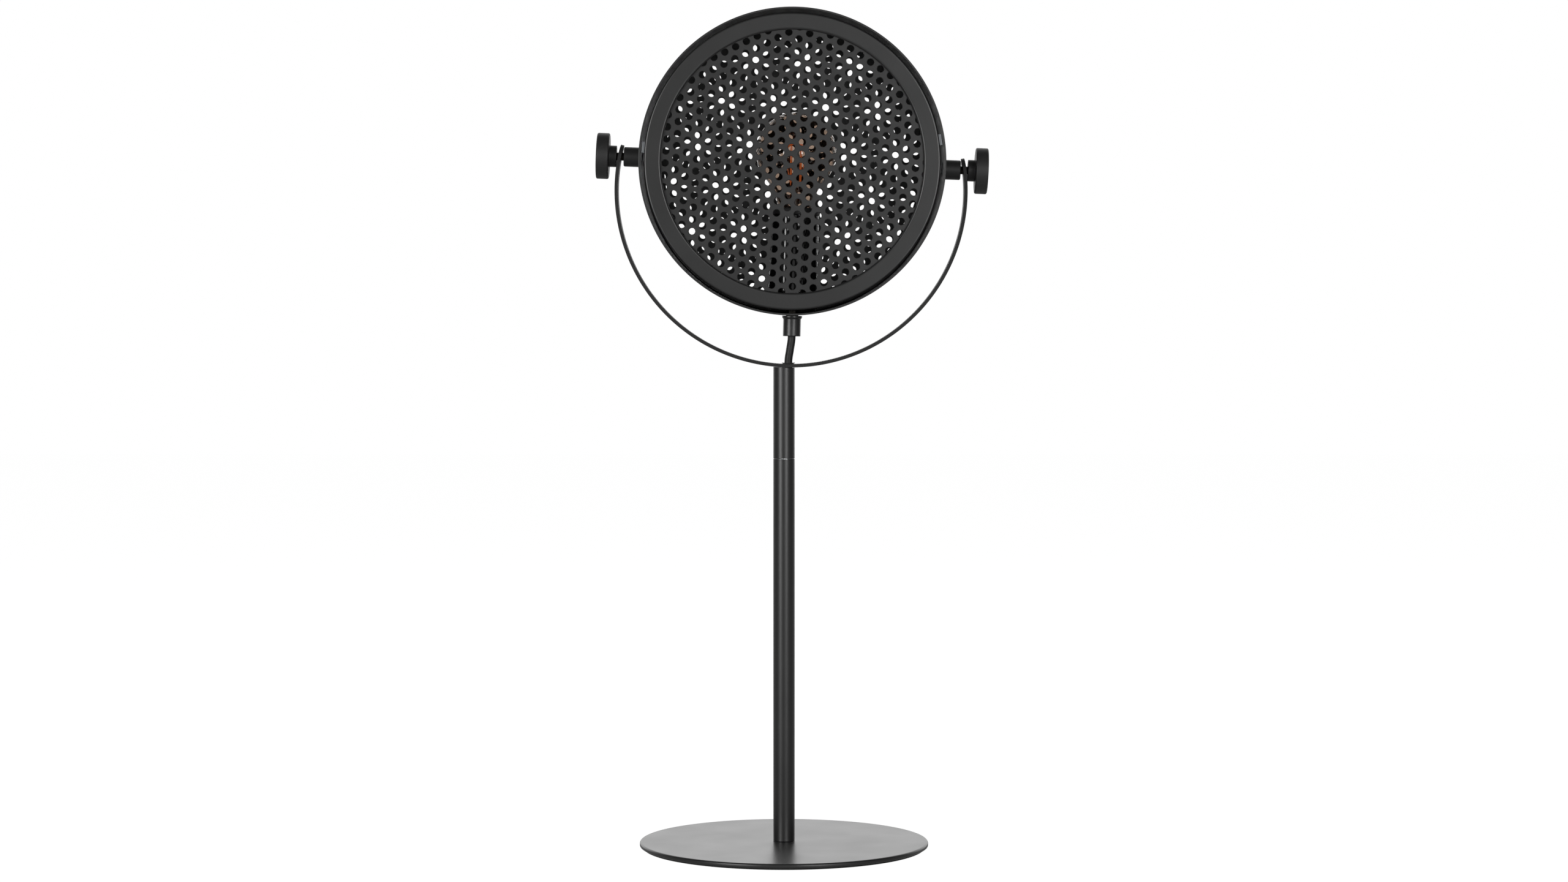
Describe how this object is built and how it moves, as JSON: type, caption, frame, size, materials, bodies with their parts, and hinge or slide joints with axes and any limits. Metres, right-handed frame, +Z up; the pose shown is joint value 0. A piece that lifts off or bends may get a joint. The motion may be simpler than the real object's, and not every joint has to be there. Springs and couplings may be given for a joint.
{
  "type": "spotlight table lamp",
  "caption": "Table lamp with a drum-shaped head behind round perforated sheets, tilting in a strip yoke on a slim pole and round base.",
  "frame": {"origin": "centre of the underside of the base, on the pole's axis", "axes": "+Z up the pole, -Y the way the lamp faces, +X along the tilt axis to the lamp's left hand"},
  "size_m": [0.2972, 0.22, 0.6354],
  "materials": {
    "coated_steel": "satin black powder coat",
    "plated_steel": "zinc plated",
    "brass": "turned",
    "rubber": "matt black",
    "black_plastic": "fine matt",
    "lead_sheath": "smooth black sheath",
    "amber_glass": "clear amber",
    "clear_glass": "clear",
    "filament": "coated filament"
  },
  "bodies": {
    "stand": {"base_plate": "coated_steel", "base_pad": "rubber", "base_screw": "plated_steel", "foot_plug": "plated_steel", "pole_lower_tube": "coated_steel", "pole_upper_tube": "coated_steel", "pole_joiner": "plated_steel", "cord_grommet": "rubber", "yoke_strip": "coated_steel", "lead_bush": "rubber", "internal_lead": "lead_sheath"},
    "head": {"drum_shell": "coated_steel", "front_ring": "coated_steel", "front_keeper_ring": "plated_steel", "back_keeper_ring": "plated_steel", "front_grille": "coated_steel", "back_grille": "coated_steel", "ring_clip_left": "plated_steel", "ring_clip_right": "plated_steel", "spacer_left": "black_plastic", "spacer_right": "black_plastic", "weld_nut_left": "plated_steel", "weld_nut_right": "plated_steel", "holder_cup": "coated_steel", "holder_body": "black_plastic", "holder_shell": "brass", "holder_contact": "brass", "holder_collar": "black_plastic", "cable_nipple": "brass", "nipple_nut": "brass", "cord_grip": "coated_steel", "bulb_glass": "amber_glass", "bulb_cap": "plated_steel", "bulb_tip": "brass", "bulb_stem": "clear_glass", "bulb_filaments": "filament"},
    "knob_left": {"knob_left": "black_plastic", "stud_left": "plated_steel"},
    "knob_right": {"knob_right": "black_plastic", "stud_right": "plated_steel"}
  },
  "joints": [
    {"name": "head_tilt", "type": "hinge", "parent": "stand", "child": "head", "pos_m": [0.0062, 0, 0.52039], "axis": [0.9992, 0, -0.0401], "range_deg": [-30, 30], "deforming": ["internal_lead"]},
    {"name": "knob_left_turn", "type": "hinge", "parent": "head", "child": "knob_left", "pos_m": [0.0062, 0, 0.52039], "axis": [-0.9992, 0, 0.0401], "range_deg": [0, 360]},
    {"name": "knob_right_turn", "type": "hinge", "parent": "head", "child": "knob_right", "pos_m": [0.0062, 0, 0.52039], "axis": [0.9992, 0, -0.0401], "range_deg": [0, 360]}
  ]
}
